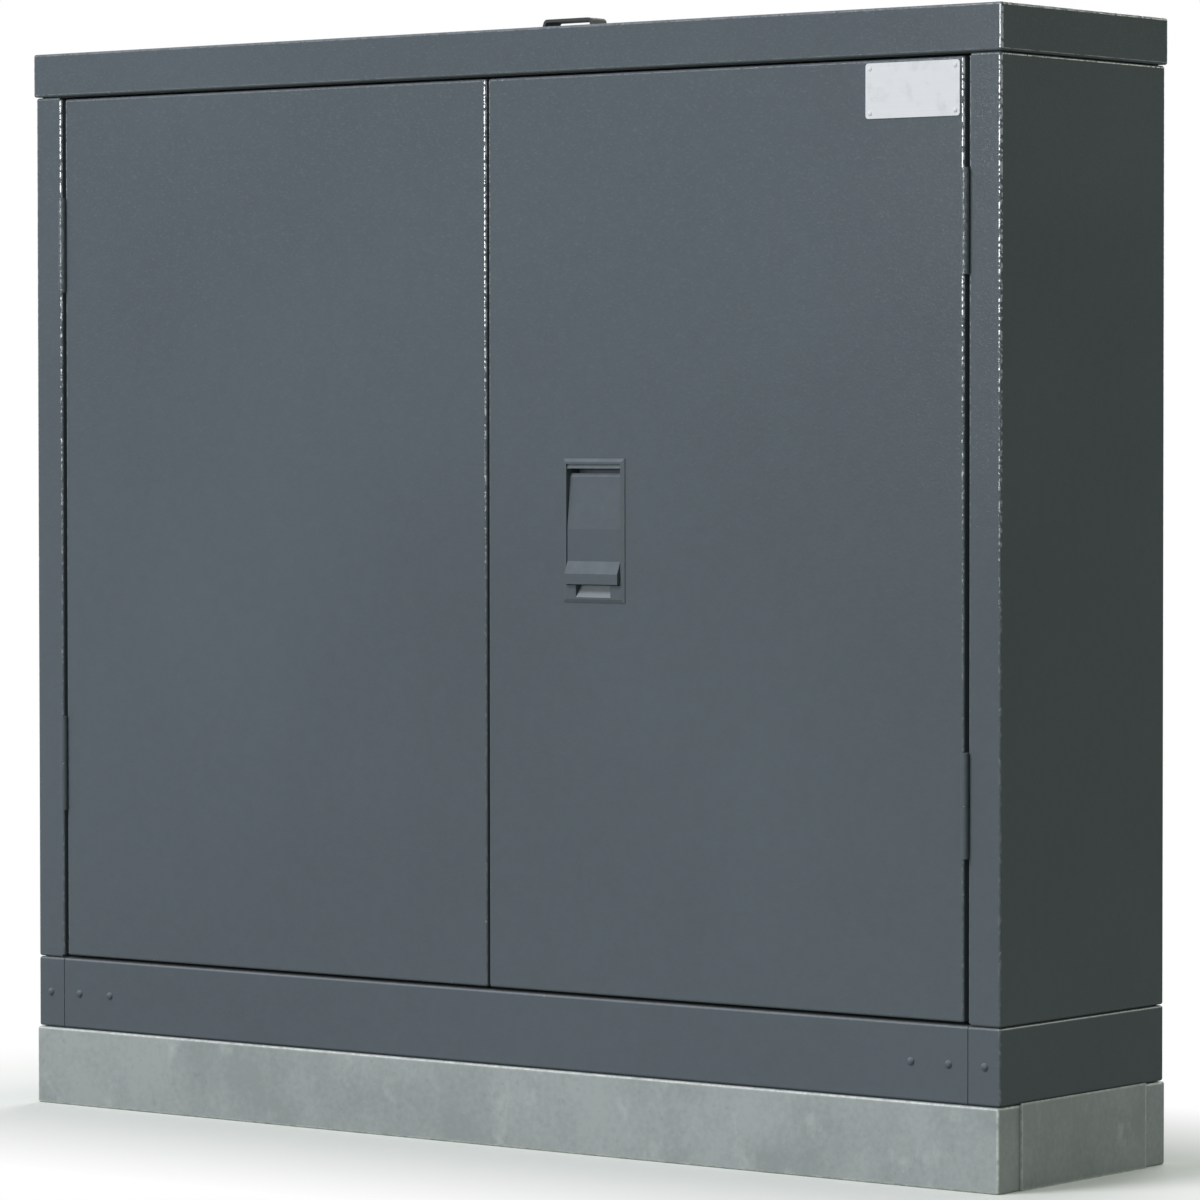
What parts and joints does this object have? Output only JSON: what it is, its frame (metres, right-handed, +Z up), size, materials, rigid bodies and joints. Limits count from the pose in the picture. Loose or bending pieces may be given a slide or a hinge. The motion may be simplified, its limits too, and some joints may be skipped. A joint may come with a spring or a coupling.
{
  "type": "outdoor electrical distribution cabinet",
  "caption": "Free-standing two-door sheet steel outdoor cabinet on a galvanised ground frame, with lift lever lock, lifting bracket and fused busbar gear inside.",
  "frame": {"origin": "on the ground, in the middle of the four anchor holes of the ground frame", "axes": "+Z up, +X to the right seen from the front, doors face -Y"},
  "size_m": [1.204, 0.2853, 1.1025],
  "materials": {
    "paint": "satin powder coat, fine texture",
    "galvanised": "hot-dip galvanised, mottled",
    "hardware": "bright zinc plated",
    "seal": "black cellular rubber",
    "plate": "white lacquered sheet, bare",
    "copper": "plain copper bar",
    "insulator": "moulded polyester",
    "moulding": "glass-filled moulding",
    "fuse": "glazed ceramic body with plated ends"
  },
  "bodies": {
    "cabinet": {"ground_frame_front": "galvanised", "ground_frame_rear": "galvanised", "ground_frame_side_left": "galvanised", "ground_frame_side_right": "galvanised", "frame_seal": "seal", "base_side_left": "paint", "base_side_right": "paint", "base_front_panel": "paint", "base_rear_panel": "paint", "base_brackets": "galvanised", "base_screws": "paint", "base_seal": "seal", "side_wall_left": "paint", "side_wall_right": "paint", "back_panel": "paint", "top_rail": "paint", "sill_rail": "paint", "roof_seal": "seal", "roof": "paint", "lifting_bracket": "paint", "lifting_bolts": "hardware", "frame_hinges_left": "paint", "frame_hinges_right": "paint", "hinge_pins": "hardware", "lower_keeper": "galvanised", "mounting_upright_left": "galvanised", "mounting_upright_right": "galvanised", "busbar_support_left": "insulator", "busbar_support_right": "insulator", "busbar_1": "copper", "busbar_2": "copper", "busbar_3": "copper", "earth_supports": "insulator", "earth_bar": "copper", "earth_bolts": "hardware", "cable_rail": "galvanised", "fuse_rail_1": "moulding", "fuse_rail_2": "moulding", "fuse_rail_3": "moulding", "fuse_rail_4": "moulding", "fuse_links": "fuse"},
    "left_door": {"left_door": "paint", "left_door_gasket": "seal", "door_hinges_left": "paint", "centre_seal": "seal", "bolt_guides": "galvanised"},
    "right_door": {"right_door": "paint", "right_door_gasket": "seal", "door_hinges_right": "paint", "nameplate": "plate", "nameplate_rivets": "plate", "handle_dish": "paint", "lock_guides": "galvanised"},
    "lever": {"lever": "paint", "lever_pin": "hardware"},
    "lock_bar": {"lock_bar": "hardware"},
    "left_top_bolt": {"left_top_bolt": "hardware"},
    "left_bottom_bolt": {"left_bottom_bolt": "hardware"}
  },
  "joints": [
    {"name": "left_door_hinge", "type": "hinge", "parent": "cabinet", "child": "left_door", "pos_m": [-0.56205, -0.14031, 0.6], "axis": [0, 0, -1], "range_deg": [0, 150]},
    {"name": "right_door_hinge", "type": "hinge", "parent": "cabinet", "child": "right_door", "pos_m": [0.56205, -0.14031, 0.6], "axis": [0, 0, 1], "range_deg": [0, 150]},
    {"name": "lever_lift", "type": "hinge", "parent": "right_door", "child": "lever", "pos_m": [0.132, -0.1278, 0.6455], "axis": [-1, 0, 0], "range_deg": [0, 50], "stiffness_Nm_per_rad": 0.3, "springref_deg": -57.3},
    {"name": "lock_bar_slide", "type": "slide", "parent": "right_door", "child": "lock_bar", "axis": [0, 0, -1], "range_m": [0, 0.02286]},
    {"name": "left_top_bolt_slide", "type": "slide", "parent": "left_door", "child": "left_top_bolt", "axis": [0, 0, -1], "range_m": [0, 0.022]},
    {"name": "left_bottom_bolt_slide", "type": "slide", "parent": "left_door", "child": "left_bottom_bolt", "axis": [0, 0, 1], "range_m": [0, 0.022]}
  ],
  "couplings": [
    {"joint": "lock_bar_slide", "follows": "lever_lift", "m_per_rad": 0.025969}
  ]
}
